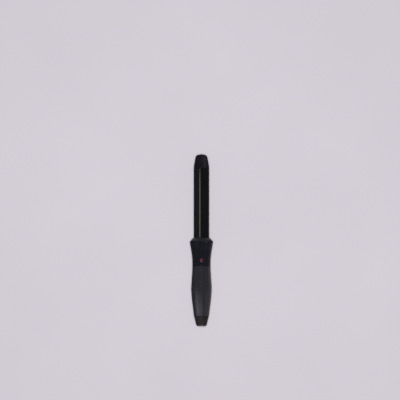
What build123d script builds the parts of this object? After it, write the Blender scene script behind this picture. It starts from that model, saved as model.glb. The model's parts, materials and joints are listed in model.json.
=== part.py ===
"""Slim clipless curling wand with a 19 mm barrel, modelled piece by piece.

The wand lies on its back on a table: +Y runs from the cord end to the cool tip, +Z is up and is
the side with the lit power button, and Z = 0 is the table.  Each piece is drawn round the wand's
own axis, with s the distance in millimetres from the cord end, and is then moved to the row frame.
"""
import math
import os

from build123d import *

# ---------------------------------------------------------------- driving dimensions (mm)
LENGTH = 212.0            # cord end to tip
AXIS_H = 12.2             # height of the wand's axis above the table
BARREL_D = 19.0           # heated barrel, outside
BARREL_WALL = 0.75
CAP_END = 12.72           # s where the end cap's cone stops
GRIP_0 = 12.84            # s where the grip starts
GRIP_1 = 73.97            # s where the grip stops
NECK_0 = 74.08            # s where the glossy neck starts
NECK_1 = 105.40           # s of the neck's front edge
RING_0 = 105.58           # s of the collar ring's back face
RING_1 = 108.90           # s of the collar ring's front edge
TAIL_D = 18.5             # the barrel's swaged tail, hidden in its seat
BARREL_0 = 95.20          # s of the barrel's hidden end
BARREL_1 = 195.33         # s of the barrel's mouth
TIP_0 = 195.42            # s of the cool tip's back edge
BUTTON_S = 81.40          # s of the power button
BUTTON_R = 2.10
BUTTON_TRAVEL = 0.60
CORD_BORE_R = 2.60        # cord entry in the swivel
GLAND_SLOT = 0.90         # slots across the swivel's mouth
SCREW_S = (33.0, 62.0)    # grip screws
BOARD_Z0, BOARD_Z1 = -0.20, 1.00
BOARD_HALF = 6.40
BOARD_S0, BOARD_S1 = 28.0, 89.5

# outline of the grip and of the neck, (s, radius)
GRIP_OUT = [(GRIP_0, 9.28), (20.5, 10.24), (27.8, 11.15), (35.2, 11.96), (40.5, 12.40), (45.5, 12.60),
            (50.5, 12.46), (57.4, 12.01), (64.8, 11.53), (70.0, 11.29), (GRIP_1, 11.17)]
NECK_OUT = [(NECK_0, 11.16), (77.1, 11.13), (80.0, 11.18), (84.5, 11.47), (89.4, 12.05), (94.4, 12.78),
            (99.3, 13.66), (101.8, 14.12), (102.9, 14.29), (103.6, 14.31), (104.3, 14.12), (104.9, 13.78), (105.3, 13.44)]
GRIP_IN = [(12.9, 7.30), (22.5, 7.30), (26.0, 7.75), (35.0, 8.60), (45.5, 9.10), (56.0, 9.00),
           (64.0, 8.95), (73.9, 8.95)]

R_BARREL = BARREL_D / 2
R_BORE = R_BARREL - BARREL_WALL
R_TAIL = TAIL_D / 2


# ---------------------------------------------------------------- helpers
def _round_corner(a, b, c, rad):
    """Tangent points and middle of an arc of that radius at corner b of the path a-b-c."""
    va = Vector(*a, 0) - Vector(*b, 0)
    vc = Vector(*c, 0) - Vector(*b, 0)
    ua, uc = va.normalized(), vc.normalized()
    half = math.radians(ua.get_angle(uc)) / 2
    back = rad / math.tan(half)
    bis = (ua + uc).normalized()
    centre = Vector(*b, 0) + bis * (rad / math.sin(half))
    mid = centre - bis * rad
    p, q = Vector(*b, 0) + ua * back, Vector(*b, 0) + uc * back
    return (p.X, p.Y), (mid.X, mid.Y), (q.X, q.Y)


def profile(points, spline=None):
    """A closed face from (r, s) or (r, s, corner radius) points.  spline is a list of (s, r) that
    joins the last point back to the first, both of which are its ends."""
    n = len(points)
    edges, cursor, start = [], None, None
    for i, p in enumerate(points):
        here = (p[0], p[1])
        rad = p[2] if len(p) > 2 else 0
        if rad:
            a, b = points[i - 1][:2], points[(i + 1) % n][:2]
            t0, mid, t1 = _round_corner(a, here, b, rad)
            if cursor is not None and math.dist(cursor, t0) > 1e-6:
                edges.append(Line(cursor, t0))
            edges.append(ThreePointArc(t0, mid, t1))
            if start is None:
                start = t0
            cursor = t1
        else:
            if cursor is not None and math.dist(cursor, here) > 1e-6:
                edges.append(Line(cursor, here))
            if start is None:
                start = here
            cursor = here
    if spline:
        edges.append(Spline(*[(r, s) for s, r in spline]))
    elif math.dist(cursor, start) > 1e-6:
        edges.append(Line(cursor, start))
    return make_face(edges)


def turn(points, spline=None):
    """A solid of revolution about the wand's axis."""
    return revolve(profile(points, spline), Axis.Y)


def ring(r0, r1, s0, s1):
    return turn([(r0, s0), (r1, s0), (r1, s1), (r0, s1)])


def rod(x, s, z0, z1, r):
    """A cylinder along Z."""
    return Pos(x, s, (z0 + z1) / 2) * Cylinder(r, z1 - z0)


def bar(x, z, s0, s1, r):
    """A cylinder along the wand."""
    return Pos(x, (s0 + s1) / 2, z) * Rot(90, 0, 0) * Cylinder(r, s1 - s0)


def block(x0, x1, s0, s1, z0, z1):
    return Pos((x0 + x1) / 2, (s0 + s1) / 2, (z0 + z1) / 2) * Box(x1 - x0, s1 - s0, z1 - z0)


def wire(points, radii, r):
    """An insulated wire along straight runs joined by tangent arcs."""
    path = FilletPolyline(*points, radius=radii)
    start = Plane(origin=path @ 0, z_dir=path % 0)
    return sweep(start * Circle(r), path=path)


UNDER = block(-40, 40, -10, LENGTH + 10, -60, -AXIS_H)      # everything below the table
PARTS = {}


def put(name, shape):
    PARTS[name] = shape


# ---------------------------------------------------------------- barrel, tip and heater
put("barrel_tube", turn([
    (R_TAIL - BARREL_WALL, BARREL_0), (R_TAIL, BARREL_0), (R_TAIL, RING_1), (R_BARREL, RING_1 + 0.25),
    (R_BARREL, BARREL_1, 0.15), (R_BORE, BARREL_1), (R_BORE, RING_1 + 0.25), (R_TAIL - BARREL_WALL, RING_1)]))

put("cool_tip", revolve(make_face([
    Line((7.85, TIP_0), (9.35, TIP_0)),
    ThreePointArc((9.35, TIP_0), (9.456, TIP_0 + 0.044), (9.50, TIP_0 + 0.15)),
    Spline((9.50, TIP_0 + 0.15), (9.02, 199.2), (8.40, 202.8), (7.72, 206.2), (7.34, 208.0),
           tangents=[(-0.10, 1.0), (-0.21, 1.0)]),
    Spline((7.34, 208.0), (6.92, 209.35), (5.85, 210.55), (3.4, 211.62), (0, LENGTH),
           tangents=[(-0.21, 1.0), (-1.0, 0.0)]),
    Line((0, LENGTH), (0, 210.4)),
    Line((0, 210.4), (4.9, 209.3)),
    Line((4.9, 209.3), (6.05, 206.4)),
    Line((6.05, 206.4), (6.05, 202.2)),
    Line((6.05, 202.2), (6.35, 202.0)),
    Line((6.35, 202.0), (6.35, 201.2)),
    Line((6.35, 201.2), (6.05, 201.0)),
    Line((6.05, 201.0), (6.05, 199.6)),
    Line((6.05, 199.6), (7.65, 198.6)),
    Line((7.65, 198.6), (7.85, TIP_0)),
]), Axis.Y))

put("tip_base", turn([
    (7.4, 187.0), (R_BORE - 0.05, 187.0, 0.3), (R_BORE - 0.05, BARREL_1), (5.98, BARREL_1), (5.98, 201.15), (6.25, 201.35),
    (6.25, 201.85), (5.98, 202.05), (5.98, 204.6, 0.4), (4.9, 204.6), (4.9, 193.8), (7.4, 193.8)]))
put("tip_mica_washer", ring(1.6, R_BORE - 0.1, 186.2, 186.9))

SP0, SP1 = 114.0, 164.0


def spreader(sign):
    body = bar(0, 0, SP0, SP1, R_BORE - 0.05) & block(-12, 12, SP0, SP1, 1.56, 12)
    lumen = bar(0, 0, SP0, SP1, R_BORE - 0.9) & block(-12, 12, SP0, SP1, 2.5, 12)
    lumen -= block(-0.45, 0.45, SP0, SP1, 2, 12)
    body -= lumen
    return body if sign > 0 else Rot(0, 180, 0) * body


put("heat_spreader_front", spreader(1))
put("heat_spreader_back", spreader(-1))
put("ptc_tiles", Compound(children=[block(-4, 4, s, s + 13, -1.0, 1.0) for s in (117.0, 133.0, 149.0)]))
for name, sgn in (("electrode_front", 1), ("electrode_back", -1)):
    z0, z1 = sorted((sgn * 1.01, sgn * 1.30))
    plate = block(-4, 4, 115.5, 162.5, z0, z1) + block(-3.0 if sgn < 0 else 1.2, -1.2 if sgn < 0 else 3.0, 108.5, 115.5, z0, z1)
    put(name, plate)
put("insulation_film", block(-4.25, 4.25, 114.4, 163.6, -1.50, 1.50) - block(-4.10, 4.10, 113, 165, -1.33, 1.33))


def spreader_spring(sign):
    strip = block(5.0, 7.4, 119, 159, -1.52, 1.52) - block(5.22, 9, 118, 160, -1.30, 1.30)
    for s in (129, 139, 149):      # slits that let the strip flex
        strip -= block(5.9, 9, s - 0.6, s + 0.6, -2, 2)
    return strip if sign > 0 else Rot(0, 180, 0) * strip


put("spreader_springs", Compound(children=[spreader_spring(1), spreader_spring(-1)]))
FX, FZ = 2.1, 2.55
fuse = bar(FX, FZ, 97.0, 105.5, 1.85) + bar(FX, FZ, 105.5, 106.4, 1.2)
put("thermal_fuse", fuse)
put("heater_lead_line", Compound(children=[
    wire([(3.2, 86.6, 1.66), (3.2, 90.5, 1.66), (FX, 94.0, FZ), (FX, 96.95, FZ)], 2.5, 0.60),
    wire([(FX, 106.45, FZ), (FX, 108.0, FZ), (FX, 110.0, 1.93), (FX, 113.8, 1.93)], 2.0, 0.55)]))
put("heater_lead_neutral", wire(
    [(-3.2, 86.6, 1.66), (-3.2, 91.0, 1.66), (-2.6, 97.0, -1.2), (-2.1, 103.0, -1.93), (-2.1, 113.8, -1.93)], 4.0, 0.60))

# ---------------------------------------------------------------- barrel seat and collar
put("barrel_mount", turn([
    (4.6, 90.6), (8.85, 90.6, 0.3), (8.85, 93.05), (10.95, 93.05), (10.95, 95.8), (10.4, 95.8), (10.4, 102.0),
    (R_TAIL + 0.04, 102.0), (R_TAIL + 0.04, 94.4), (4.6, 94.4)]))
seat = PARTS["barrel_mount"]
tube = PARTS["barrel_tube"]
screws = []
for sgn in (1, -1):
    hole = Pos(sgn * 9.5, 98.8, 0) * Rot(0, 90, 0) * Cylinder(0.92, 4.2)
    seat = seat - hole
    tube = tube - hole
    shank = Pos(sgn * 9.45, 98.8, 0) * Rot(0, 90, 0) * Cylinder(0.88, 2.1)
    head = Pos(sgn * 10.82, 98.8, 0) * Rot(0, 90, 0) * Cylinder(1.5, 0.64)
    flat = head & block(-20, 20, 90, 105, -1.5, 1.5)
    slot = block(sgn * 11.0 - 0.2, sgn * 11.0 + 0.2, 97, 101, -0.2, 0.2)
    screws.append((shank + flat) - slot)
put("barrel_mount", seat)
put("barrel_tube", tube)
put("barrel_screws", Compound(children=screws))
put("barrel_mica_washer", ring(4.6, R_TAIL - 0.05, 94.44, 95.14))

put("collar_ring", turn([
    (9.82, RING_1, 0.2), (10.12, RING_1, 0.3), (13.24, RING_0 + 0.26, 0.2), (13.24, RING_0), (11.4, RING_0),
    (11.4, 103.8), (11.7, 103.7), (11.7, 103.2), (11.4, 103.0), (11.4, 102.2), (10.75, 102.2), (10.75, 103.8),
    (9.82, 105.8)]) - UNDER)

# ---------------------------------------------------------------- neck housing, with the button's hole
neck = turn(
    [NECK_OUT[-1][::-1], (13.28, NECK_1), (11.5, NECK_1), (11.5, 103.9), (11.8, 103.8), (11.8, 103.1),
     (11.5, 102.9), (11.5, 96.5), (11.05, 96.5), (11.05, 93.0), (8.95, 93.0), (8.95, 76.5), (7.4, 75.5),
     (7.4, 67.0), (8.9, 67.0, 0.3), (8.9, 69.4), (9.2, 69.6), (9.2, 70.6), (8.9, 70.8), (8.9, NECK_0), (11.16, NECK_0)],
    spline=NECK_OUT)
neck += (rod(0, BUTTON_S, 8.35, 10.4, 3.9) & bar(0, 0, 70, 92, 11.0))
neck -= rod(0, BUTTON_S, 5, 14, BUTTON_R + 0.15)
put("front_housing", neck - UNDER)

# ---------------------------------------------------------------- grip halves
grip_all = turn([(9.28, GRIP_0), (GRIP_IN[0][1], GRIP_0)] + [(r, s) for s, r in GRIP_IN[1:]] + [(11.17, GRIP_1)],
                spline=list(reversed(GRIP_OUT)))
grip_all -= ring(8.5, 9.3, 69.4, 70.8)        # groove that traps the neck's rib
grip_all -= ring(7.0, 7.95, 15.9, 17.3)       # groove that traps the end cap's rib
envelope = turn([(0, GRIP_0), (9.28 - 0.4, GRIP_0)] + [(r - 0.4, s) for s, r in GRIP_OUT[1:]] + [(0, GRIP_1)])


def inner_skin(thick):
    """The inner part of the wall, used for the joint's tongue and groove."""
    pts = [(r, s) for s, r in GRIP_IN[1:-1]]
    return turn(pts + [(r + thick, s) for r, s in reversed(pts)])


top_half = block(-20, 20, 0, 90, 0.05, 20)
low_half = block(-20, 20, 0, 90, -20, -0.05)
tongue = inner_skin(0.80) & block(-20, 20, 24.0, 63.5, -0.6, 0.95)
notch = inner_skin(0.95) & block(-20, 20, 22.0, 64.5, -0.1, 1.15)
notch += ring(6.0, 7.4, 22.0, 22.6) & block(-20, 20, 22, 23, -0.1, 1.15)

front = grip_all & top_half
front -= notch
back = grip_all & low_half
back += tongue
for s in SCREW_S:
    front += rod(0, s, BOARD_Z1 + 0.05, 11.5, 2.6) & envelope
    back += (rod(0, s, -12, -6.0, 3.7) + rod(0, s, -6.1, BOARD_Z0 - 0.05, 2.6)) & envelope
for s in SCREW_S:
    front -= rod(0, s, 0, 8.3, 1.15)
    back -= rod(0, s, -20, 1, 1.30)
    back -= rod(0, s, -20, -7.6, 2.5)
put("grip_front", front)
put("grip_back", back - UNDER)


def cross_screw(s):
    body = rod(0, s, -7.55, 7.6, 1.12) + rod(0, s, -9.15, -7.62 + 0.01, 2.2) + rod(0, s, -7.62, -7.5, 1.12)
    head_edge = body.edges().filter_by(GeomType.CIRCLE).sort_by(Axis.Z)[0]
    body = fillet(head_edge, 0.5)
    cut = block(-1.3, 1.3, s - 0.22, s + 0.22, -9.4, -8.2) + block(-0.22, 0.22, s - 1.3, s + 1.3, -9.4, -8.2)
    return body - cut


put("grip_screws", Compound(children=[cross_screw(s) for s in SCREW_S]))

# ---------------------------------------------------------------- control board
pcb = block(-BOARD_HALF, BOARD_HALF, BOARD_S0, BOARD_S1, BOARD_Z0, BOARD_Z1)
pcb = fillet(pcb.edges().filter_by(Axis.Z), 1.5)
for s in SCREW_S:
    pcb -= rod(0, s, -2, 3, 1.35)
put("control_board", pcb)
ON = BOARD_Z1 + 0.02
cap = block(-5.4, -0.7, 39.5, 52.0, ON, 6.8)
cap = fillet(cap.edges().filter_by(Axis.Z), 0.7)
put("film_capacitor", chamfer(cap.edges().group_by(Axis.Z)[-1], 0.4))
put("triac", block(1.3, 5.7, 39.0, 43.4, ON, 5.6) & (bar(3.5, 3.3, 39.0, 43.4, 3.0)))
put("board_fuse", bar(3.6, ON + 1.75, 47.0, 56.0, 1.7) + bar(3.6, ON + 1.75, 47.0, 48.6, 1.75) + bar(3.6, ON + 1.75, 54.4, 56.0, 1.75))
chip = block(-1.95, 1.95, 66.6, 71.5, ON + 0.1, ON + 1.6)
legs = [block(sx * 2.45 - 0.55, sx * 2.45 + 0.55, 67.15 + 1.27 * i - 0.2, 67.15 + 1.27 * i + 0.2, ON, ON + 0.35)
        for sx in (1, -1) for i in range(4)]
for leg in legs:
    chip += leg
put("control_chip", chip)
put("resistors", Compound(children=[
    bar(x, ON + 1.1, 69.0, 76.0, 0.95) + bar(x, ON + 1.1, 69.0, 70.8, 1.08) + bar(x, ON + 1.1, 74.2, 76.0, 1.08)
    for x in (4.6, -4.6)]))

# ---------------------------------------------------------------- lit power button and its switch
body = block(-3, 3, BUTTON_S - 3, BUTTON_S + 3, ON, 4.6)
body = chamfer(body.edges().filter_by(Axis.Z), 0.4)
body -= rod(0, BUTTON_S, 2.3, 6, 1.75)
put("switch_body", body)
put("switch_plunger", rod(0, BUTTON_S, 3.1, 6.40, 1.65))
lens_r = (1.15 ** 2 + 0.95 ** 2) / (2 * 0.95)
lens_top = 8.25 - lens_r + math.sqrt(lens_r ** 2 - 0.12 ** 2)      # the lens has a small flat at its top
lens = revolve(Plane.XZ * make_face([
    Line((0, 6.42), (1.30, 6.42)), Line((1.30, 6.42), (1.30, 6.70)), Line((1.30, 6.70), (1.15, 6.70)), Line((1.15, 6.70), (1.15, 7.30)),
    ThreePointArc((1.15, 7.30), (0.69, 8.25 - lens_r + math.sqrt(lens_r ** 2 - 0.69 ** 2)), (0.12, lens_top)),
    Line((0.12, lens_top), (0, lens_top)), Line((0, lens_top), (0, 6.42))]), Axis.Z)
put("indicator_led", Pos(0, BUTTON_S, 0) * lens)
zt = 11.24                     # surface of the neck beside the button
dome_h = 0.66                  # rise of the button's dome
dome_r = (BUTTON_R ** 2 + dome_h ** 2) / (2 * dome_h)
dome_x = BUTTON_R * 0.55
dome_z = zt - 0.06 + dome_h - dome_r + math.sqrt(dome_r ** 2 - dome_x ** 2)
dome_top = zt - 0.06 + dome_h
stem = revolve(Plane.XZ * make_face([
    Line((1.40, 6.45), (2.10, 6.45)), Line((2.10, 6.45), (2.10, 7.60)), Line((2.10, 7.60), (2.95, 7.60)),
    Line((2.95, 7.60), (2.95, 8.30)), Line((2.95, 8.30), (2.10, 8.30)), Line((2.10, 8.30), (2.10, zt - 0.06)),
    ThreePointArc((2.10, zt - 0.06), (dome_x, dome_z), (0, dome_top)),
    Line((0, dome_top), (0, 9.6)), Line((0, 9.6), (1.40, 9.2)), Line((1.40, 9.2), (1.40, 6.45))]), Axis.Z)
put("power_button", Pos(0, BUTTON_S, 0) * stem)

# ---------------------------------------------------------------- end cap and cord swivel
put("end_cap", turn([
    (3.55, 0.0), (6.16, 0.0, 2.5), (9.18, CAP_END, 0.12), (7.2, CAP_END), (7.2, 16.0), (7.8, 16.2), (7.8, 17.0),
    (7.2, 17.2), (7.2, 22.0), (6.0, 22.0), (6.0, 6.0), (5.2, 6.0), (5.2, 2.0), (3.55, 2.0)]))
put("thrust_washer", ring(3.65, 5.0, 2.06, 2.46))
gland = turn([
    (CORD_BORE_R, 0.75), (CORD_BORE_R + 0.55, 0.2), (3.5, 0.2, 0.15), (3.5, 2.5), (4.95, 2.5), (4.95, 4.5), (4.0, 4.5),
    (4.0, 8.9), (3.0, 8.9), (3.0, 16.2), (2.4, 16.2), (2.4, 17.0), (3.0, 17.0), (3.0, 18.2, 0.4), (0, 18.2),
    (0, 8.2), (CORD_BORE_R, 8.2)])
gland -= block(-4, 4, -1, 0.62, -GLAND_SLOT / 2, GLAND_SLOT / 2)      # two slots for the tool that fits it
put("swivel_gland", gland)
put("slip_ring_line", ring(3.02, 4.60, 9.0, 11.0))
put("ring_spacer", ring(3.02, 4.35, 11.05, 12.15))
put("slip_ring_neutral", ring(3.02, 4.00, 12.2, 14.2))
clip = ring(2.45, 3.85, 16.25, 16.95) - block(-1.4, 1.4, 15, 18, -6, 0)
put("swivel_circlip", clip)
holder = turn([(5.25, 7.2), (5.95, 7.2), (5.95, 22.0), (5.25, 22.0), (5.25, 16.0), (3.1, 16.0), (3.1, 15.0), (5.25, 15.0)])
holder -= block(4.45, 5.2, 14, 17, -1.3, 1.3)
holder -= block(-4.6, -3.85, 14, 17, -1.3, 1.3)
put("brush_holder", holder)
put("contact_spring_line", block(4.66, 4.92, 9.2, 25.0, -1.0, 1.0))
put("contact_spring_neutral", block(-4.32, -4.06, 12.4, 25.0, -1.0, 1.0))
put("board_lead_line", wire([(5.56, 22.8, 0), (5.56, 24.8, 0), (4.6, 27.2, 1.70), (4.6, 31.5, 1.70)], 1.8, 0.60))
put("board_lead_neutral", wire([(-4.96, 22.8, 0), (-4.96, 24.8, 0), (-4.6, 27.2, 1.70), (-4.6, 31.5, 1.70)], 1.8, 0.60))

# ---------------------------------------------------------------- write the parts in the row frame
os.makedirs("parts", exist_ok=True)
for old in os.listdir("parts"):
    if old.endswith(".step") and old[:-5] not in PARTS:
        os.remove(os.path.join("parts", old))
for name, shape in PARTS.items():
    placed = Pos(0, -LENGTH / 2, AXIS_H) * shape
    solids = placed.solids()
    out = solids[0] if len(solids) == 1 else Compound(children=list(solids))
    export_step(out, f"parts/{name}.step")
print(len(PARTS), "nodes")
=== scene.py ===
"""Looks for a slim clipless curling wand that lies on its back on a pale floor, seen from straight above.

Lengths in the helpers are millimetres round the wand's own axis: s runs from the cord end to the tip,
x to the right, z up.  They are turned into the frame's metres when a mesh is made.
"""

import json
import math

import bmesh
import bpy
import numpy as np
from mathutils import Matrix, Vector


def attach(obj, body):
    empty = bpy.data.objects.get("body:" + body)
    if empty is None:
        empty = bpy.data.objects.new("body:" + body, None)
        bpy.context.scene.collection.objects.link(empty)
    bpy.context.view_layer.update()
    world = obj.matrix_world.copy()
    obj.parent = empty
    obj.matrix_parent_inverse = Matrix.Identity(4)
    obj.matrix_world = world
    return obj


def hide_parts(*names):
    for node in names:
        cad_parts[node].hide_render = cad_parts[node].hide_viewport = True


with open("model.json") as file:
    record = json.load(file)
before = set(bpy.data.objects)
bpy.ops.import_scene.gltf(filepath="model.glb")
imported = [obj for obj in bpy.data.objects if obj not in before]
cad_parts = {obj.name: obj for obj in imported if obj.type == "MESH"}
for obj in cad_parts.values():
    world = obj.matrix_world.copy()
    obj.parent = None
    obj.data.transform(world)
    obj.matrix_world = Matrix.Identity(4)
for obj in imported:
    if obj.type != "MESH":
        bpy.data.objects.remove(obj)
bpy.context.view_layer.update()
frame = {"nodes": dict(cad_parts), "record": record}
nodes = frame["nodes"]
scene = bpy.context.scene

# ------------------------------------------------------------------ sizes (mm)
LENGTH, AXIS_H = 212.0, 12.2
R_BARREL, R_BORE, R_TAIL = 9.5, 8.75, 9.25
CAP_END, GRIP_0, GRIP_1 = 12.72, 12.84, 73.97
NECK_0, NECK_1 = 74.08, 105.40
RING_0, RING_1 = 105.58, 108.90
BARREL_0, BARREL_1, TIP_0 = 95.20, 195.33, 195.42
BUTTON_S, BUTTON_R = 81.40, 2.10
SCREW_S = (33.0, 62.0)
GLAND_SLOT = 0.90
GRIP_OUT = [(GRIP_0, 9.28), (20.5, 10.24), (27.8, 11.15), (35.2, 11.96), (40.5, 12.40), (45.5, 12.60),
            (50.5, 12.46), (57.4, 12.01), (64.8, 11.53), (70.0, 11.29), (GRIP_1, 11.17)]
NECK_OUT = [(NECK_0, 11.16), (77.1, 11.13), (80.0, 11.18), (84.5, 11.47), (89.4, 12.05), (94.4, 12.78),
            (99.3, 13.66), (101.8, 14.12), (102.9, 14.29), (103.6, 14.31), (104.3, 14.12), (104.9, 13.78), (105.3, 13.44)]
GRIP_IN = [(12.9, 7.30), (22.5, 7.30), (26.0, 7.75), (35.0, 8.60), (45.5, 9.10), (56.0, 9.00),
           (64.0, 8.95), (73.9, 8.95)]


def place(x, s, z):
    """A point round the wand's axis, in the frame's metres."""
    return Vector((x / 1000, (s - LENGTH / 2) / 1000, (z + AXIS_H) / 1000))


# ------------------------------------------------------------------ curves
def cubic(points, t0=None, t1=None):
    """A C2 cubic through the points, by chord length, with the tangents given or taken from the end points.
    Returns a function of the parameter and the parameter's knots."""
    p = np.array(points, float)
    k = np.concatenate([[0], np.cumsum(np.linalg.norm(np.diff(p, axis=0), axis=1))])
    n = len(p)

    def end_slope(i, j, m):
        h0, h1 = k[j] - k[i], k[m] - k[j]
        d0, d1 = (p[j] - p[i]) / h0, (p[m] - p[j]) / h1
        return d0 + (d0 - d1) * h0 / (h0 + h1)

    a = np.array(t0, float) / np.linalg.norm(t0) if t0 is not None else end_slope(0, 1, 2)
    b = np.array(t1, float) / np.linalg.norm(t1) if t1 is not None else end_slope(-1, -2, -3)
    mat, rhs = np.zeros((n, n)), np.zeros((n, p.shape[1]))
    mat[0, 0], rhs[0] = 1, a
    mat[-1, -1], rhs[-1] = 1, b
    for i in range(1, n - 1):
        h0, h1 = k[i] - k[i - 1], k[i + 1] - k[i]
        mat[i, i - 1], mat[i, i], mat[i, i + 1] = h1, 2 * (h0 + h1), h0
        rhs[i] = 3 * (h1 * (p[i] - p[i - 1]) / h0 + h0 * (p[i + 1] - p[i]) / h1)
    m = np.linalg.solve(mat, rhs)

    def at(t):
        i = int(np.clip(np.searchsorted(k, t) - 1, 0, n - 2))
        h = k[i + 1] - k[i]
        u = (t - k[i]) / h
        return ((2 * u**3 - 3 * u**2 + 1) * p[i] + (u**3 - 2 * u**2 + u) * h * m[i]
                + (-2 * u**3 + 3 * u**2) * p[i + 1] + (u**3 - u**2) * h * m[i + 1])

    return at, k


def sample(points, step, t0=None, t1=None):
    at, k = cubic(points, t0, t1)
    n = max(2, int(round(k[-1] / step)))
    return [tuple(at(k[-1] * i / n)) for i in range(n + 1)]


def rounded(corners, arc=5, step=None):
    """A closed path from (r, s) or (r, s, radius) corners, with arcs at the rounded ones and, where step
    is given, extra points on long runs."""
    n, out = len(corners), []
    for i, c in enumerate(corners):
        here = Vector(c[:2])
        rad = c[2] if len(c) > 2 else 0
        if not rad:
            out.append(tuple(here))
            continue
        a, b = Vector(corners[i - 1][:2]) - here, Vector(corners[(i + 1) % n][:2]) - here
        ua, ub = a.normalized(), b.normalized()
        half = ua.angle(ub) / 2
        back = rad / math.tan(half)
        centre = here + (ua + ub).normalized() * (rad / math.sin(half))
        v0, v1 = here + ua * back - centre, here + ub * back - centre
        sweep = v0.angle_signed(v1)
        for j in range(arc + 1):
            v = v0.copy()
            v.rotate(Matrix.Rotation(-sweep * j / arc, 2))
            out.append(tuple(centre + v))
    if step:
        dense = []
        for i, q in enumerate(out):
            nxt = out[(i + 1) % len(out)]
            run = math.dist(q, nxt)
            m = max(1, int(run / step))
            at = [j / m for j in range(m)]
            if run > 0.5:                                # a ring close to each corner keeps the run's shading straight
                at = sorted(set(at + [0.06 / run, 1 - 0.06 / run]))
            dense += [(q[0] + (nxt[0] - q[0]) * u, q[1] + (nxt[1] - q[1]) * u) for u in at]
        out = dense
    return out


# ------------------------------------------------------------------ meshes
def finish_mesh(name, bm, sharp_deg=28.0):
    bmesh.ops.remove_doubles(bm, verts=bm.verts, dist=2e-7)
    bmesh.ops.recalc_face_normals(bm, faces=bm.faces)
    for f in bm.faces:
        f.smooth = True
    for e in bm.edges:
        if len(e.link_faces) == 2:
            e.smooth = e.calc_face_angle(0.0) < math.radians(sharp_deg)
    mesh = bpy.data.meshes.new(name)
    bm.to_mesh(mesh)
    bm.free()
    obj = bpy.data.objects.new(name, mesh)
    scene.collection.objects.link(obj)
    return obj


def lathe(path, segs=256):
    """A bmesh turned round the wand's axis from a closed (r, s) path."""
    bm = bmesh.new()
    rings = []
    for r, s in path:
        if r < 1e-4:
            rings.append([bm.verts.new(place(0, s, 0))] * segs)
        else:
            rings.append([bm.verts.new(place(r * math.cos(2 * math.pi * i / segs), s, r * math.sin(2 * math.pi * i / segs)))
                          for i in range(segs)])
    for a, b in zip(rings, rings[1:] + rings[:1]):
        for i in range(segs):
            quad = [a[i], a[(i + 1) % segs], b[(i + 1) % segs], b[i]]
            face = [v for j, v in enumerate(quad) if v is not quad[j - 1]]
            if len(set(face)) >= 3:
                bm.faces.new(face)
    return bm


def half_lathe(path, outer, sign, cols=120, gap=0.05, soft=0.20, lips=2):
    """Half of a turned shell, on the +z or -z side, with a fine softened edge along the joint.  The path runs along
    the outside, over the points of one end's lip, back along the bore and over the other end's lip."""
    def column(r, is_outer, k):
        if k in (0, cols):
            z, rr = gap, r - (soft if is_outer else 0)
        elif k in (1, cols - 1):
            z, rr = gap + (soft if is_outer else 0.3), r
        else:
            ang = math.pi * (0.016 + (1 - 2 * 0.016) * (k - 2) / (cols - 4))
            return r * math.cos(ang), r * math.sin(ang)
        x = math.sqrt(rr * rr - z * z)
        return (x if k < cols / 2 else -x), z

    bm = bmesh.new()
    grid = []
    for (r, s), o in zip(path, outer):
        row = []
        for k in range(cols + 1):
            x, z = column(r, o, k)
            row.append(bm.verts.new(place(x, s, sign * z)))
        grid.append(row)
    for a, b in zip(grid, grid[1:] + grid[:1]):
        for k in range(cols):
            bm.faces.new([a[k], a[k + 1], b[k + 1], b[k]])
    count = sum(outer)
    skin, high, low = grid[:count], grid[count:count + lips], grid[-lips:]
    bore = grid[count + lips:-lips][::-1]
    for k in (0, cols):                                  # the faces of the joint, laid between the outside and the bore
        i = j = 0
        while i < len(skin) - 1 or j < len(bore) - 1:
            if j == len(bore) - 1 or (i < len(skin) - 1 and skin[i + 1][k].co.y <= bore[j + 1][k].co.y):
                bm.faces.new([skin[i][k], skin[i + 1][k], bore[j][k]])
                i += 1
            else:
                bm.faces.new([skin[i][k], bore[j + 1][k], bore[j][k]])
                j += 1
        for fan in ([bore[0]] + low + [skin[0]], [bore[-1], skin[-1]] + high):
            for a, b in zip(fan[1:], fan[2:]):
                bm.faces.new([fan[0][k], a[k], b[k]])
    bmesh.ops.recalc_face_normals(bm, faces=bm.faces)
    return bm


def cut_flat(bm, soften=0.10):
    """Cuts the underside off at the table and softens the new edge."""
    res = bmesh.ops.bisect_plane(bm, geom=bm.verts[:] + bm.edges[:] + bm.faces[:], dist=1e-8,
                                 plane_co=place(0, 0, -AXIS_H), plane_no=(0, 0, -1), clear_outer=True)
    edges = [e for e in res["geom_cut"] if isinstance(e, bmesh.types.BMEdge)]
    made = bmesh.ops.holes_fill(bm, edges=edges, sides=0)["faces"]
    if soften and made:
        rim = list({e for f in made for e in f.edges})
        bmesh.ops.bevel(bm, geom=rim, offset=soften / 1000, segments=2, profile=0.5, affect="EDGES", clamp_overlap=True)


def post(x, s, z0, z1, r, r1=None, segs=64):
    """A closed pin or cone along z, as an object to cut or join with."""
    bm = bmesh.new()
    bmesh.ops.create_cone(bm, cap_ends=True, segments=segs, radius1=r / 1000, radius2=(r if r1 is None else r1) / 1000,
                          depth=(z1 - z0) / 1000, matrix=Matrix.Translation(place(x, s, (z0 + z1) / 2)))
    return finish_mesh("tool", bm)


def pin_across(x0, x1, s, z, r, segs=48):
    """A closed pin along x."""
    bm = bmesh.new()
    turned = Matrix.Translation(place((x0 + x1) / 2, s, z)) @ Matrix.Rotation(math.pi / 2, 4, "Y")
    bmesh.ops.create_cone(bm, cap_ends=True, segments=segs, radius1=r / 1000, radius2=r / 1000, depth=(x1 - x0) / 1000, matrix=turned)
    return finish_mesh("tool", bm)


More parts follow.
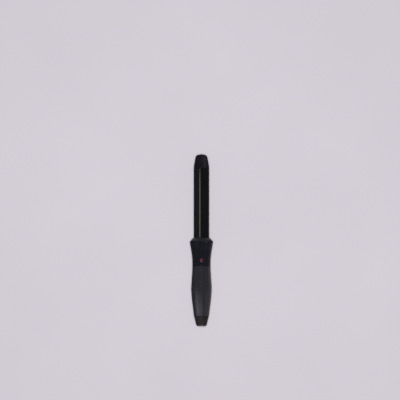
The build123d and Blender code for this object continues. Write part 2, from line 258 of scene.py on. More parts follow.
def brick(x0, x1, s0, s1, z0, z1):
    bm = bmesh.new()
    lo, hi = place(x0, s0, z0), place(x1, s1, z1)
    bmesh.ops.create_cube(bm, size=1.0, matrix=Matrix.Translation((lo + hi) / 2) @ Matrix.Diagonal((*(hi - lo), 1.0)))
    return finish_mesh("tool", bm)


def rail(side, s0, s1, z0, z1, d0, d1):
    """A bar along the inside of the grip's wall, from d0 to d1 deep in it and from z0 to z1, on one side."""
    stations = [s0] + [s for s, _ in GRIP_IN if s0 + 0.2 < s < s1 - 0.2] + [s1]
    bm = bmesh.new()
    rows = []
    for s in stations:
        r = float(np.interp(s, [q[0] for q in GRIP_IN], [q[1] for q in GRIP_IN]))
        rows.append([bm.verts.new(place(side * math.sqrt((r + d) ** 2 - z * z), s, z)) for d, z in ((d0, z0), (d1, z0), (d1, z1), (d0, z1))])
    for a, b in zip(rows, rows[1:]):
        for i in range(4):
            bm.faces.new([a[i], a[(i + 1) % 4], b[(i + 1) % 4], b[i]])
    bm.faces.new(rows[0])
    bm.faces.new(rows[-1])
    return finish_mesh("tool", bm)


def combine(obj, tools, solver="EXACT"):
    """Cuts or joins simple solids into a piece, then keeps the result as plain mesh."""
    for how, tool in tools:
        m = obj.modifiers.new("cut", "BOOLEAN")
        m.operation, m.object, m.solver = how, tool, solver
    dg = bpy.context.evaluated_depsgraph_get()
    mesh = bpy.data.meshes.new_from_object(obj.evaluated_get(dg))
    obj.modifiers.clear()
    old, obj.data = obj.data, mesh
    bpy.data.meshes.remove(old)
    for _, tool in tools:
        bpy.data.objects.remove(tool)
    bm = bmesh.new()
    bm.from_mesh(mesh)
    bmesh.ops.dissolve_degenerate(bm, edges=bm.edges, dist=2e-7)
    for f in bm.faces:
        f.smooth = True
    for e in bm.edges:
        if len(e.link_faces) == 2:
            e.smooth = e.calc_face_angle(0.0) < math.radians(28)
    bm.to_mesh(mesh)
    bm.free()
    mesh.materials.clear()


def lipped_hole(outline, s, r, z0, width, segs=128):
    """A tool that cuts a round hole along z into a turned surface and breaks its outer edge all round."""
    at, k = cubic(outline)
    table = np.array([at(k[-1] * i / 1500) for i in range(1501)])

    def skin(x, y):
        return math.sqrt(float(np.interp(s + y, table[:, 0], table[:, 1])) ** 2 - x * x)

    bm = bmesh.new()
    rows = []
    for i in range(segs):
        c, d = math.cos(2 * math.pi * i / segs), math.sin(2 * math.pi * i / segs)

        def point(rr, z):
            return bm.verts.new(place(rr * c, s + rr * d, z))
        lip = skin((r + width) * c, (r + width) * d)
        rows.append([point(r, z0), point(r, lip - width), point(r + 0.10 * width, lip - 0.56 * width), point(r + 0.44 * width, lip - 0.16 * width),
                     point(r + width, lip), point(r + 2 * width, lip + 0.3 * width), point(r + 2 * width, 14.0)])
    for a, b in zip(rows, rows[1:] + rows[:1]):
        for j in range(len(a) - 1):
            bm.faces.new([a[j], b[j], b[j + 1], a[j + 1]])
    bm.faces.new([row[0] for row in reversed(rows)])
    bm.faces.new([row[-1] for row in rows])
    return finish_mesh("tool", bm)


def true_normals(obj, points, tol=0.012):
    """Gives the faces that lie on a turned outline the outline's own normals, so cuts leave no kinks in its shine."""
    at, k = cubic(points)
    n = 1500
    table = np.array([at(k[-1] * i / n) for i in range(n + 1)])
    s_t, r_t = table[:, 0], table[:, 1]
    slope_t = np.gradient(r_t, s_t)
    mesh = obj.data
    co = np.zeros(len(mesh.vertices) * 3)
    mesh.vertices.foreach_get("co", co)
    co = co.reshape(-1, 3) * 1000
    s = co[:, 1] + LENGTH / 2
    x, z = co[:, 0], co[:, 2] - AXIS_H
    r = np.hypot(x, z)
    on = (np.abs(r - np.interp(s, s_t, r_t)) < tol) & (s > s_t[0] - 0.02) & (s < s_t[-1] + 0.02)
    slope = np.interp(s, s_t, slope_t)
    nrm = np.stack([x / np.maximum(r, 1e-6), -slope, z / np.maximum(r, 1e-6)], 1)
    nrm /= np.linalg.norm(nrm, axis=1)[:, None]
    loops = np.zeros((len(mesh.loops), 3))
    for p in mesh.polygons:
        idx = list(p.vertices)
        if all(on[i] for i in idx):
            facing = np.array(p.normal)
            if abs(facing @ nrm[idx[0]]) > 0.9:
                for li, vi in zip(p.loop_indices, idx):
                    loops[li] = nrm[vi]
    mesh.normals_split_custom_set([tuple(v) for v in loops])


def piece(obj, node, mat, body="wand"):
    obj.data.materials.clear()
    obj.data.materials.append(mat)
    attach(obj, body)
    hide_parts(node)
    return obj


# ------------------------------------------------------------------ materials
def lin(r, g, b):
    """An sRGB colour, 0 to 255, as linear light."""
    def one(v):
        v /= 255
        return v / 12.92 if v <= 0.04045 else ((v + 0.055) / 1.055) ** 2.4
    return (one(r), one(g), one(b), 1.0)


class Nodes:
    def __init__(self, name):
        self.mat = bpy.data.materials.new(name)
        self.mat.use_nodes = True
        self.tree = self.mat.node_tree
        self.tree.nodes.clear()
        self.out = self.tree.nodes.new("ShaderNodeOutputMaterial")
        self.bsdf = self.tree.nodes.new("ShaderNodeBsdfPrincipled")
        self.link(self.bsdf.outputs[0], self.out.inputs[0])
        self.coord = self.tree.nodes.new("ShaderNodeTexCoord").outputs["Object"]

    def link(self, a, b):
        self.tree.links.new(a, b)

    def stretch(self, scale):
        n = self.tree.nodes.new("ShaderNodeMapping")
        n.inputs["Scale"].default_value = scale
        self.link(self.coord, n.inputs["Vector"])
        return n.outputs[0]

    def noise(self, size_mm, detail=3.0, rough=0.55, vector=None, distortion=0.0):
        n = self.tree.nodes.new("ShaderNodeTexNoise")
        n.inputs["Scale"].default_value = 1000.0 / size_mm
        n.inputs["Detail"].default_value = detail
        n.inputs["Roughness"].default_value = rough
        n.inputs["Distortion"].default_value = distortion
        self.link(vector or self.coord, n.inputs["Vector"])
        return n.outputs["Fac"]

    def voronoi(self, size_mm, vector=None):
        n = self.tree.nodes.new("ShaderNodeTexVoronoi")
        n.inputs["Scale"].default_value = 1000.0 / size_mm
        self.link(vector or self.coord, n.inputs["Vector"])
        return n.outputs["Distance"]

    def span(self, value, a, b, lo, hi, smooth=False):
        n = self.tree.nodes.new("ShaderNodeMapRange")
        n.interpolation_type = "SMOOTHSTEP" if smooth else "LINEAR"
        for key, v in (("From Min", a), ("From Max", b), ("To Min", lo), ("To Max", hi)):
            n.inputs[key].default_value = v
        self.link(value, n.inputs["Value"])
        return n.outputs[0]

    def math(self, op, a, b):
        n = self.tree.nodes.new("ShaderNodeMath")
        n.operation = op
        for i, v in enumerate((a, b)):
            if isinstance(v, (int, float)):
                n.inputs[i].default_value = v
            else:
                self.link(v, n.inputs[i])
        return n.outputs[0]

    def along(self, axis):
        n = self.tree.nodes.new("ShaderNodeSeparateXYZ")
        self.link(self.coord, n.inputs[0])
        return n.outputs["XYZ".index(axis)]

    def mix(self, fac, a, b):
        n = self.tree.nodes.new("ShaderNodeMix")
        n.data_type = "RGBA"
        for key, v in (("A", a), ("B", b)):
            sock = [i for i in n.inputs if i.name == key and i.type == "RGBA"][0]
            if isinstance(v, tuple):
                sock.default_value = v
            else:
                self.link(v, sock)
        self.link(fac, n.inputs[0])
        return [o for o in n.outputs if o.type == "RGBA"][0]

    def bump(self, height, depth_um, strength=1.0, normal=None):
        n = self.tree.nodes.new("ShaderNodeBump")
        n.inputs["Strength"].default_value = strength
        n.inputs["Distance"].default_value = depth_um * 1e-6
        self.link(height, n.inputs["Height"])
        if normal is not None:
            self.link(normal, n.inputs["Normal"])
        return n.outputs[0]

    def set(self, **values):
        for key, v in values.items():
            self.bsdf.inputs[key.replace("_", " ")].default_value = v
        return self

    def to(self, key, socket):
        self.link(socket, self.bsdf.inputs[key])
        return self


def shade(c, k):
    return (min(1, c[0] * k), min(1, c[1] * k), min(1, c[2] * k), 1.0)


def moulded(name, colour, rough, grain_mm=0.35, grain_um=5.0, drift=0.10, rough_drift=0.06, specular=0.4, coat=0.0,
            coat_rough=0.1, wear_and_highlight=None):
    """Moulded plastic: eroded grain, soft patches of gloss from handling, a trace of uneven colour, and paler bands
    across the wand
    at given s: on joint edges these are rubbed wear, on the tip and the end cap a painted highlight.  The bands are a
    list of (s, half width in mm, share)."""
    n = Nodes(name)
    patches = n.noise(9.0, 4.0, 0.6)
    fine = n.noise(grain_mm, 2.0, 0.6)
    speck = n.noise(1.3, 3.0, 0.7)
    colour_out = n.mix(n.span(patches, 0.3, 0.7, 0.0, 1.0), shade(colour, 1 - drift), shade(colour, 1 + drift))
    colour_out = n.mix(n.span(speck, 0.62, 0.80, 0.0, 0.22), colour_out, shade(colour, 1.9))
    rough_out = n.span(patches, 0.25, 0.75, rough - rough_drift, rough + rough_drift)
    # paler, glossier bands at given s: rubbed wear on joint edges, a painted highlight on the tip and the end cap
    for s, half, share in wear_and_highlight or []:
        edge = n.math("SUBTRACT", n.along("Y"), (s - LENGTH / 2) / 1000)
        mask = n.span(n.math("ABSOLUTE", edge, 0.0), 0.0, half / 1000, 1.0, 0.0, smooth=True)
        mask = n.math("MULTIPLY", mask, n.span(speck, 0.35, 0.65, 0.25, 1.0))
        mask = n.math("MULTIPLY", mask, share)
        colour_out = n.mix(mask, colour_out, shade(colour, 3.2))
        rough_out = n.math("SUBTRACT", rough_out, n.math("MULTIPLY", mask, 0.12))
    n.to("Base Color", colour_out).to("Roughness", rough_out)
    first = n.bump(patches, 5.0, 0.35)
    n.to("Normal", n.bump(fine, grain_um, 0.6, first))
    n.set(Specular_IOR_Level=specular)
    if coat:
        n.set(Coat_Weight=coat, Coat_Roughness=coat_rough, Coat_IOR=1.5)
    return n.mat


def metal(name, colour, rough, along="Y", line_mm=0.10, run_mm=9.0, bump_um=1.2):
    """Bare metal with fine drawn or turned lines."""
    n = Nodes(name)
    scale = {"X": (line_mm / run_mm, 1, 1), "Y": (1, line_mm / run_mm, 1), "Z": (1, 1, line_mm / run_mm)}[along]
    lines = n.noise(line_mm, 3.0, 0.6, n.stretch(scale))
    patches = n.noise(3.5, 4.0, 0.6)
    n.to("Base Color", n.mix(n.span(patches, 0.3, 0.7, 0.0, 1.0), shade(colour, 0.94), shade(colour, 1.03)))
    rough_out = n.span(lines, 0.3, 0.7, rough - 0.07, rough + 0.07)
    n.to("Roughness", rough_out).to("Normal", n.bump(lines, bump_um, 0.8))
    n.set(Metallic=1.0)
    return n.mat


def ceramic_coat(name):
    """Black ceramic coat on a drawn tube: near-black, glossy, with a trace of orange peel, faint turned lines and
    a sparse mineral sparkle."""
    n = Nodes(name)
    peel = n.noise(1.1, 2.0, 0.5)
    turned = n.noise(0.22, 2.0, 0.6, n.stretch((0.02, 1.0, 0.02)))
    patches = n.noise(14.0, 4.0, 0.6)
    fleck = n.voronoi(0.55)
    base = n.mix(n.span(patches, 0.3, 0.7, 0.0, 1.0), lin(9, 8, 9), lin(12, 11, 12))
    base = n.mix(n.span(fleck, 0.05, 0.13, 0.35, 0.0), base, lin(48, 50, 50))
    n.to("Base Color", base)
    rough = n.span(patches, 0.25, 0.75, 0.10, 0.14)
    n.to("Roughness", n.math("ADD", rough, n.span(turned, 0.3, 0.7, -0.01, 0.015)))
    n.to("Normal", n.bump(turned, 0.5, 0.5, n.bump(peel, 1.0, 0.5)))
    n.set(Specular_IOR_Level=0.34)
    return n.mat


def lit_red(name):
    """Clear red moulding lit from below: brighter towards the middle of the cap."""
    n = Nodes(name)
    x = n.along("X")
    y = n.math("SUBTRACT", n.along("Y"), (BUTTON_S - LENGTH / 2) / 1000)
    d = n.math("SQRT", n.math("ADD", n.math("MULTIPLY", x, x), n.math("MULTIPLY", y, y)), 0.0)
    core = n.span(d, 0.0003, 0.0021, 1.0, 0.0, smooth=True)
    cloud = n.noise(0.9, 2.0, 0.5)
    n.to("Base Color", n.mix(n.span(cloud, 0.3, 0.7, 0.0, 1.0), lin(62, 13, 27), lin(71, 20, 35)))
    n.to("Roughness", n.span(cloud, 0.3, 0.7, 0.13, 0.22))
    n.to("Emission Color", n.mix(core, lin(120, 6, 20), lin(230, 42, 64)))
    n.to("Normal", n.bump(cloud, 2.0, 0.4))
    n.set(Emission_Strength=0.0175)
    return n.mat


def rubbery(name, colour):
    n = Nodes(name)
    patches = n.noise(2.2, 3.0, 0.6)
    n.to("Base Color", n.mix(n.span(patches, 0.3, 0.7, 0.0, 1.0), shade(colour, 0.88), shade(colour, 1.1)))
    n.to("Roughness", n.span(patches, 0.3, 0.7, 0.48, 0.62))
    n.to("Normal", n.bump(n.noise(0.3, 2.0), 4.0, 0.6))
    return n.mat


def fired(name, colour, grain=0.25):
    n = Nodes(name)
    patches = n.noise(1.6, 4.0, 0.65)
    speck = n.voronoi(grain)
    n.to("Base Color", n.mix(n.span(patches, 0.3, 0.7, 0.0, 1.0), shade(colour, 0.8), shade(colour, 1.15)))
    n.to("Roughness", n.span(speck, 0.0, 0.6, 0.55, 0.8))
    n.to("Normal", n.bump(speck, 8.0, 0.6))
    return n.mat


def laminate(name, colour):
    """Solder-masked board with faint lighter tracks."""
    n = Nodes(name)
    b = n.tree.nodes.new("ShaderNodeTexBrick")
    b.inputs["Scale"].default_value = 240.0
    b.inputs["Color1"].default_value = shade(colour, 0.95)
    b.inputs["Color2"].default_value = shade(colour, 1.03)
    b.inputs["Mortar"].default_value = shade(colour, 1.35)
    b.inputs["Mortar Size"].default_value = 0.06
    n.link(n.coord, b.inputs["Vector"])
    patches = n.noise(3.0, 3.0, 0.6)
    n.to("Base Color", n.mix(n.span(patches, 0.3, 0.7, 0.2, 0.8), b.outputs["Color"], shade(colour, 1.0)))
    n.to("Roughness", n.span(patches, 0.3, 0.7, 0.28, 0.42))
    n.to("Normal", n.bump(b.outputs["Fac"], 8.0, 0.5))
    return n.mat


MAT = {
    "barrel_coat": ceramic_coat("barrel_coat"),
    # the tip's wide pale band is a painted highlight: paler towards the end, darker towards the barrel
    "tip_plastic": moulded("tip_plastic", lin(14.5, 12.5, 16.5), 0.46, grain_mm=0.34, grain_um=14.0, specular=0.30, wear_and_highlight=[(208.5, 13.0, 0.20)]),
    "collar_plastic": moulded("collar_plastic", lin(29, 29, 33), 0.34, grain_um=2.5, specular=0.40, wear_and_highlight=[(RING_0 + 0.3, 0.4, 0.12)]),
    "neck_plastic": moulded("neck_plastic", lin(14, 15, 21), 0.22, grain_mm=0.6, grain_um=0.8, rough_drift=0.04, specular=0.36,
                            wear_and_highlight=[(NECK_1, 0.5, 0.12)]),
    "grip_plastic": moulded("grip_plastic", lin(28, 27, 31), 0.27, grain_mm=0.30, grain_um=6.0, rough_drift=0.035, specular=0.36,
                            wear_and_highlight=[(GRIP_0, 0.6, 0.2), (GRIP_1, 0.6, 0.2)]),
    # the cap's pale band at the cord end is a painted highlight along its rounded edge
    "cap_plastic": moulded("cap_plastic", lin(26, 22.5, 24.5), 0.42, grain_mm=0.34, grain_um=12.0, specular=0.34, wear_and_highlight=[(0.6, 2.0, 0.65)]),
    "button_red": lit_red("button_red"),
    "led_red": lit_red("led_red"),
    "swivel_plastic": moulded("swivel_plastic", lin(26, 26, 27), 0.36, grain_um=2.0),
    "pps_plastic": moulded("pps_plastic", lin(88, 78, 64), 0.5, grain_um=6.0, drift=0.14),
    "white_nylon": moulded("white_nylon", lin(219, 217, 211), 0.42, grain_um=2.0, drift=0.03),
    "ptfe": moulded("ptfe", lin(232, 232, 229), 0.4, grain_um=2.0, drift=0.03),
    "mica": fired("mica", lin(172, 160, 140), 0.6),
    "heater_ceramic": fired("heater_ceramic", lin(112, 109, 109)),
    "spreader_metal": metal("spreader_metal", lin(218, 218, 220), 0.36),
    "electrode_metal": metal("electrode_metal", lin(226, 226, 228), 0.30),
    "film": moulded("film", lin(180, 124, 48), 0.22, grain_um=1.0, drift=0.08),
    "spring_steel": metal("spring_steel", lin(196, 196, 198), 0.28),
    "screw_steel": metal("screw_steel", lin(168, 168, 170), 0.30, along="X", line_mm=0.08, run_mm=2.0),
    "fuse_metal": metal("fuse_metal", lin(210, 208, 204), 0.30),
    "wire_red": rubbery("wire_red", lin(158, 48, 44)),
    "wire_white": rubbery("wire_white", lin(211, 210, 205)),
    "board": laminate("board", lin(48, 101, 62)),
    "component_black": moulded("component_black", lin(36, 36, 38), 0.46, grain_um=4.0),
    "component_yellow": moulded("component_yellow", lin(194, 160, 70), 0.24, grain_um=1.5),
    "component_beige": fired("component_beige", lin(180, 158, 128)),
    "fuse_glass": fired("fuse_glass", lin(194, 196, 192)),
    "brass": metal("brass", lin(220, 190, 128), 0.28, along="X"),
    "bronze_strip": metal("bronze_strip", lin(206, 166, 116), 0.30),
}

# ------------------------------------------------------------------ inner pieces keep their shapes and get real finishes
slots = {p["node"]: p["material_slot"] for p in frame["record"]["subparts"]}
for name, obj in nodes.items():
    obj.data.materials.clear()
    obj.data.materials.append(MAT[slots[name]])

# ------------------------------------------------------------------ barrel and tip
barrel_path = rounded([(R_TAIL - 0.75, BARREL_0), (R_TAIL, BARREL_0), (R_TAIL, RING_1), (R_BARREL, RING_1 + 0.25), (R_BARREL, BARREL_1, 0.15),
                       (R_BORE, BARREL_1), (R_BORE, RING_1 + 0.25), (R_TAIL - 0.75, RING_1)], step=6.0)
barrel = finish_mesh("barrel", lathe(barrel_path, 256))
combine(barrel, [("DIFFERENCE", pin_across(7.4, 11.6, 98.8, 0, 0.92)), ("DIFFERENCE", pin_across(-11.6, -7.4, 98.8, 0, 0.92))])
piece(barrel, "barrel_tube", MAT["barrel_coat"])

tip_side = sample([(9.50, TIP_0 + 0.15), (9.02, 199.2), (8.40, 202.8), (7.72, 206.2), (7.34, 208.0)], 0.6, (-0.10, 1.0), (-0.21, 1.0))
tip_dome = sample([(7.34, 208.0), (6.92, 209.35), (5.85, 210.55), (3.4, 211.62), (0.0, LENGTH)], 0.3, (-0.21, 1.0), (-1.0, 0.0))
base_arc = [(9.35 + 0.15 * math.sin(a), TIP_0 + 0.15 - 0.15 * math.cos(a)) for a in (math.pi / 2 * i / 4 for i in range(4))]
tip_path = base_arc + tip_side + tip_dome[1:] + [
    (0, 210.4), (4.9, 209.3), (6.05, 206.4), (6.05, 202.2), (6.35, 202.0), (6.35, 201.2), (6.05, 201.0), (6.05, 199.6),
    (7.65, 198.6), (7.85, BARREL_1 + 0.02), (9.0, BARREL_1 + 0.02), (9.1, TIP_0)]
tip = piece(finish_mesh("tip", lathe(tip_path, 192)), "cool_tip", MAT["tip_plastic"])

# ------------------------------------------------------------------ collar and neck
ring_path = rounded([(9.82, RING_1, 0.2), (10.12, RING_1, 0.3), (13.24, RING_0 + 0.26, 0.2), (13.24, RING_0), (12.95, RING_0),
                     (12.85, NECK_1 + 0.03), (11.4, NECK_1 + 0.03), (11.4, 103.8), (11.7, 103.7), (11.7, 103.2), (11.4, 103.0), (11.4, 102.2), (10.75, 102.2), (10.75, 103.8),
                     (9.82, 105.8)], arc=6, step=0.8)
bm = lathe(ring_path, 256)
cut_flat(bm)
collar = piece(finish_mesh("collar", bm), "collar_ring", MAT["collar_plastic"])

neck_out = [(r, s) for s, r in sample(NECK_OUT, 0.25)]
neck_path = neck_out + [(13.28, NECK_1), (11.5, NECK_1),
    (11.5, 103.9), (11.8, 103.8), (11.8, 103.1), (11.5, 102.9), (11.5, 96.5), (11.05, 96.5), (11.05, 93.0), (8.95, 93.0),
    (8.95, 76.5), (7.4, 75.5), (7.4, 67.0), (8.7, 67.0), (8.9, 67.3), (8.9, 69.4), (9.2, 69.6), (9.2, 70.6), (8.9, 70.8), (8.9, NECK_0)]
bm = lathe(neck_path, 256)
cut_flat(bm)
neck = finish_mesh("neck", bm)
combine(neck, [("UNION", post(0, BUTTON_S, 8.35, 10.2, 3.9)), ("DIFFERENCE", lipped_hole(NECK_OUT, BUTTON_S, BUTTON_R + 0.15, 5.0, 0.16))])
true_normals(neck, NECK_OUT)
piece(neck, "front_housing", MAT["neck_plastic"])

# ------------------------------------------------------------------ grip halves
grip_out = [(r, s) for s, r in sample(GRIP_OUT, 0.6)]
grip_out[0] = (9.16, GRIP_0)
grip_out.insert(1, (9.27 + 0.02, GRIP_0 + 0.13))
grip_out[-1] = (11.05, GRIP_1)
grip_out.insert(-1, (11.172, GRIP_1 - 0.13))
grip_in = [(10.72, GRIP_1), (10.62, NECK_0 - 0.02), (9.0, NECK_0 - 0.02)] + [(r, s) for s, r in reversed(GRIP_IN[1:])]
grip_in += [(7.30, CAP_END + 0.02), (8.72, CAP_END + 0.02), (8.82, GRIP_0)]
grip_path = grip_out + grip_in
outer = [True] * len(grip_out) + [False] * len(grip_in)
front = finish_mesh("grip_front_shell", half_lathe(grip_path, outer, 1))
tools = [("DIFFERENCE", rail(side, 22.7, 64.5, -0.1, 1.15, -0.35, 0.95)) for side in (1, -1)]
for s in SCREW_S:
    tools += [("UNION", post(0, s, 1.05, 9.7, 2.6)), ("DIFFERENCE", post(0, s, 0, 8.3, 1.15, segs=32))]
combine(front, tools, "MANIFOLD")
true_normals(front, GRIP_OUT)
piece(front, "grip_front", MAT["grip_plastic"])

bm = half_lathe(grip_path, outer, -1)
cut_flat(bm)
back = finish_mesh("grip_back_shell", bm)
tools = [("UNION", rail(side, 24.0, 63.5, -0.6, 0.95, 0.03, 0.80)) for side in (1, -1)]
for s in SCREW_S:
    tools += [("UNION", post(0, s, -10.2, -6.0, 3.7)), ("UNION", post(0, s, -6.4, -0.25, 2.6)),
              ("DIFFERENCE", post(0, s, -20, -7.6, 2.5)), ("DIFFERENCE", post(0, s, -20, 1, 1.3, segs=32))]
combine(back, tools, "MANIFOLD")
true_normals(back, GRIP_OUT)
piece(back, "grip_back", MAT["grip_plastic"])

# ------------------------------------------------------------------ end cap and swivel
cap_path = rounded([(3.55, 0.0, 0.12), (6.16, 0.0, 2.5), (9.18, CAP_END, 0.12), (7.2, CAP_END), (7.2, 16.0), (7.8, 16.2), (7.8, 17.0),
                    (7.2, 17.2), (7.2, 22.0), (6.0, 22.0), (6.0, 6.0), (5.2, 6.0), (5.2, 2.0), (3.55, 2.0)], arc=10, step=1.0)
cap = piece(finish_mesh("cord_end_cap", lathe(cap_path, 192)), "end_cap", MAT["cap_plastic"])
gland_path = rounded([(2.6, 0.75), (3.15, 0.2), (3.5, 0.2, 0.15), (3.5, 2.5), (4.95, 2.5), (4.95, 4.5), (4.0, 4.5),
                      (4.0, 8.9), (3.0, 8.9), (3.0, 16.2), (2.4, 16.2), (2.4, 17.0), (3.0, 17.0), (3.0, 18.2, 0.4), (0, 18.2),
                      (0, 8.2), (2.6, 8.2)], arc=4)
gland = finish_mesh("cord_gland", lathe(gland_path, 128))
combine(gland, [("DIFFERENCE", brick(-4, 4, -1, 0.62, -GLAND_SLOT / 2, GLAND_SLOT / 2))])
piece(gland, "swivel_gland", MAT["swivel_plastic"], "swivel")

# ------------------------------------------------------------------ button
zt, dome_h = 11.24, 0.66
dome_r = (BUTTON_R**2 + dome_h**2) / (2 * dome_h)
top = zt - 0.06 + dome_h
cap_arc = [(x, top - dome_r + math.sqrt(dome_r**2 - x * x)) for x in (BUTTON_R * (1 - i / 14) for i in range(15))]
cap_arc[0] = (BUTTON_R - 0.05, cap_arc[0][1] + 0.02)
button_path = [(1.40, 6.45), (2.10, 6.45), (2.10, 7.60), (2.95, 7.60), (2.95, 8.30), (2.10, 8.30), (2.10, zt - 0.10)] + cap_arc + [(0, 9.6), (1.40, 9.2)]
bm = bmesh.new()
segs, rings = 96, []
for r, z in button_path:
    if r < 1e-4:
        rings.append([bm.verts.new(place(0, BUTTON_S, z))] * segs)
    else:
        rings.append([bm.verts.new(place(r * math.cos(2 * math.pi * i / segs), BUTTON_S + r * math.sin(2 * math.pi * i / segs), z)) for i in range(segs)])
for a, b in zip(rings, rings[1:] + rings[:1]):
    for i in range(segs):
        quad = [a[i], a[(i + 1) % segs], b[(i + 1) % segs], b[i]]
        face = [v for j, v in enumerate(quad) if v is not quad[j - 1]]
        if len(set(face)) >= 3:
            bm.faces.new(face)
button = piece(finish_mesh("button_cap", bm), "power_button", MAT["button_red"], "button")

# ------------------------------------------------------------------ floor
n = Nodes("floor_pale")
tone = n.noise(160.0, 3.0, 0.5)
n.to("Base Color", n.mix(n.span(tone, 0.3, 0.7, 0.0, 1.0), lin(214, 208, 217), lin(217, 211, 220)))
n.to("Roughness", n.span(tone, 0.3, 0.7, 0.82, 0.9))
n.set(Specular_IOR_Level=0.1)
bm = bmesh.new()
bmesh.ops.create_grid(bm, x_segments=8, y_segments=8, size=4.0)
floor = finish_mesh("floor", bm)
floor.location.z = -2e-5
floor.data.materials.append(n.mat)
floor.visible_glossy = False

# ------------------------------------------------------------------ camera: straight down, tip up
PX = 1.2355                   # millimetres to one pixel of the 400 x 400 view, at the wand's axis
DIST = 4000.0
cam = bpy.data.cameras.new("camera")
cam.sensor_width = 36.0
cam.lens = 36.0 * DIST / (400 * PX)
cam.clip_start, cam.clip_end = 0.05, 20.0
camera = bpy.data.objects.new("camera", cam)
camera.location = ((200 - 201.45) * PX / 1000, (LENGTH / 2 - (200 - 154.4) * PX) / 1000, (AXIS_H + DIST) / 1000)
scene.collection.objects.link(camera)
scene.camera = camera

# ------------------------------------------------------------------ light
world = bpy.data.worlds.new("studio")
world.use_nodes = True
wt = world.node_tree
bg = wt.nodes["Background"]
bg.inputs["Color"].default_value = lin(236, 233, 240)
bg.inputs["Strength"].default_value = 0.10
wall = wt.nodes.new("ShaderNodeBackground")          # the pale backdrop beyond the floor
wall.inputs["Color"].default_value = lin(214, 209, 218)
path, both = wt.nodes.new("ShaderNodeLightPath"), wt.nodes.new("ShaderNodeMixShader")
wt.links.new(path.outputs["Is Camera Ray"], both.inputs[0])
wt.links.new(bg.outputs[0], both.inputs[1])
wt.links.new(wall.outputs[0], both.inputs[2])
wt.links.new(both.outputs[0], wt.nodes["World Output"].inputs["Surface"])
scene.world = world


def panel(name, centre, across, along, radiance, faces, only=None, diffuse=False, glossy=True, colour=(1, 1, 1)):
    """A flat light given by its centre and its two edges in metres, turned to the point it faces.  only names the
    pieces that it is flagged to."""
    centre, u, v = Vector(centre), Vector(across), Vector(along)
    x, y = u.normalized(), v.normalized()
    z = x.cross(y)
    if z.dot(Vector(faces) - centre) > 0:
        y, z = -y, -z
    data = bpy.data.lights.new(name, "AREA")
    data.shape = "RECTANGLE"
    data.size, data.size_y = u.length, v.length
    data.energy, data.color = 4 * u.length * v.length * radiance, colour
    obj = bpy.data.objects.new(name, data)
    obj.matrix_world = Matrix.Translation(centre) @ Matrix((x, y, z)).transposed().to_4x4()
    obj.visible_camera = False
    obj.visible_glossy = glossy
    obj.visible_diffuse = diffuse
    scene.collection.objects.link(obj)
    if only:
        flag = bpy.data.collections.new(name + "_on")
        for o in only:
            flag.objects.link(o)
        obj.light_linking.receiver_collection = flag
    return obj


axis = (0.0, 0.0, AXIS_H / 1000)
wand = [o for o in scene.collection.all_objects if o.type == "MESH" and o is not floor]
panel("soft_top", (0, 0.04, 2.2), (1.2, 0, 0), (0, 1.2, 0), 8.0, axis, wand, diffuse=True, glossy=False)
panel("soft_top_floor", (0, 0.04, 2.2), (0.5, 0, 0), (0, 0.5, 0), 28.4, axis, [floor], diffuse=True, glossy=False)
wash = panel("floor_wash", (0, 0.04, 2.2), (0.5, 0, 0), (0, 0.5, 0), 15.0, axis, [floor], diffuse=True, glossy=False)
wash.data.use_shadow = False
panel("fill_left", (-1.0, 0, 0.55), (0.43, 0, 0.80), (0, 0.9, 0), 2.6, axis, [o for o in wand if o is not tip], diffuse=True, glossy=False)
panel("fill_left_tip", (-1.0, 0, 0.55), (0.43, 0, 0.80), (0, 0.9, 0), 0.6, axis, [tip], diffuse=True, glossy=False)
panel("fill_right", (1.0, 0, 0.55), (0.43, 0, -0.80), (0, 0.9, 0), 2.6, axis, wand, diffuse=True, glossy=False)
panel("fill_tip", (0, 1.2, 0.5), (0.9, 0, 0), (0, 0.3, -0.8), 1.4, axis, wand, diffuse=True, glossy=False)
panel("fill_tail", (0, -1.2, 0.5), (0.9, 0, 0), (0, 0.3, 0.8), 1.4, axis, wand, diffuse=True, glossy=False)
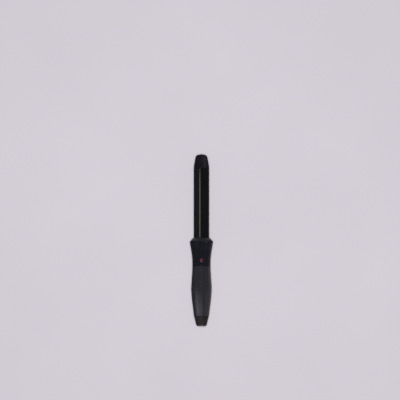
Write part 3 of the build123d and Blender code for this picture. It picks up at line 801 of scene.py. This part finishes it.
# a wide softbox past each end, seen along the wand only
for sy in (-1, 1):
    panel(f"end_box_{'ab'[sy > 0]}", (0, sy * 0.95, 0.62), (3.0, 0, 0), (0, -sy * 0.33, 0.62), 1.3, (0, sy * 0.05, 0),
          [front, back, button] + ([neck, tip, collar] if sy < 0 else [cap, gland]))
    panel(f"barrel_sheen_{'ab'[sy > 0]}", (0, sy * 0.95, 0.62), (3.0, 0, 0), (0, -sy * 0.33, 0.62), 0.34, (0, sy * 0.05, 0), [barrel])
    panel(f"barrel_line_{'ab'[sy > 0]}", (-0.10, sy * 0.94, 0.66), (0.36, 0, 0), (0, -sy * 0.37, 0.70), 3.2, (0, sy * 0.05, 0), [barrel],
          colour=(0.96, 1.0, 0.97))
panel("high_box", (0, 0.62, 0.86), (2.4, 0, 0), (0, -0.36, 0.44), 0.9, (0, -0.05, 0), [cap, gland])
for sx, level in ((-1, 0.34), (1, 0.58)):
    panel(f"neck_box_{'lr'[sx > 0]}", (sx * 0.80, 0.62, 0.62), (0.6, -sx * 0.6, 0), (-sx * 0.25, -0.25, 0.6), level, (0, 0, 0), [neck])
panel("tip_box_r", (0.80, 0.62, 0.50), (0.6, -0.6, 0), (-0.25, -0.25, 0.6), 0.60, (0, 0.1, 0), [tip])
# a narrow softbox up to the left draws the line on the barrel
tilt = math.radians(23.6)
panel("strip", (-0.30 * math.sin(tilt), 0.041, axis[2] + 0.30 * math.cos(tilt)),
      (0.066 * math.cos(tilt), 0, 0.066 * math.sin(tilt)), (0, 0.092, 0), 3.3, (0, 0.041, axis[2]), [barrel, button], colour=(0.96, 1.0, 0.97))
panel("barrel_left", (-0.62, 0.041, 0.37), (0, 0, 0.66), (0, 0.14, 0), 0.10, (0, 0.041, axis[2]), [barrel])
# a large softbox above and to the left of the cord end, in two walls
cool = (0.98, 0.97, 1.08)
panel("low_left_top", (-0.375, -0.385, 0.512), (0.99, 0, 0), (0, 0.30, 0), 1.62, (0, -0.08, 0), [front, back], colour=cool)
panel("low_left_side", (-0.88, -0.40, 0.33), (0, 0, 0.36), (0, 0.27, 0), 1.66, (0, -0.08, 0.1), [front, back], colour=cool)
panel("low_right_side", (0.70, -0.3325, 0.30), (0, 0, 0.54), (0, 0.335, 0), 0.28, (0, -0.08, 0.1), [front, back], colour=cool)
# pale cards lying by the wand: one along the right of the handle, one on each side of the collar
panel("card_right", (0.16, -0.063, 0.0015), (0.28, 0, 0), (0, 0.123, 0), 0.32, (0, 0, 0.5), [front, back])
panel("card_right_far", (0.16, -0.063, 0.0015), (0.28, 0, 0), (0, 0.123, 0), 0.14, (0, 0, 0.5), [neck, cap])
for sx in (-1, 1):
    panel(f"card_collar_{'lr'[sx > 0]}", (sx * 0.05, 0.03, 0.0015), (0.076, 0, 0), (0, 0.06, 0), 0.21, (0, 0.03, 0.5), [collar])
panel("card_tail", (0, -0.82, 0.29), (1.0, 0, 0), (0, 0.16, 0.48), 1.8, (0, -0.1, 0), [cap, gland])

scene.view_settings.view_transform = "Standard"
scene.view_settings.look = "None"
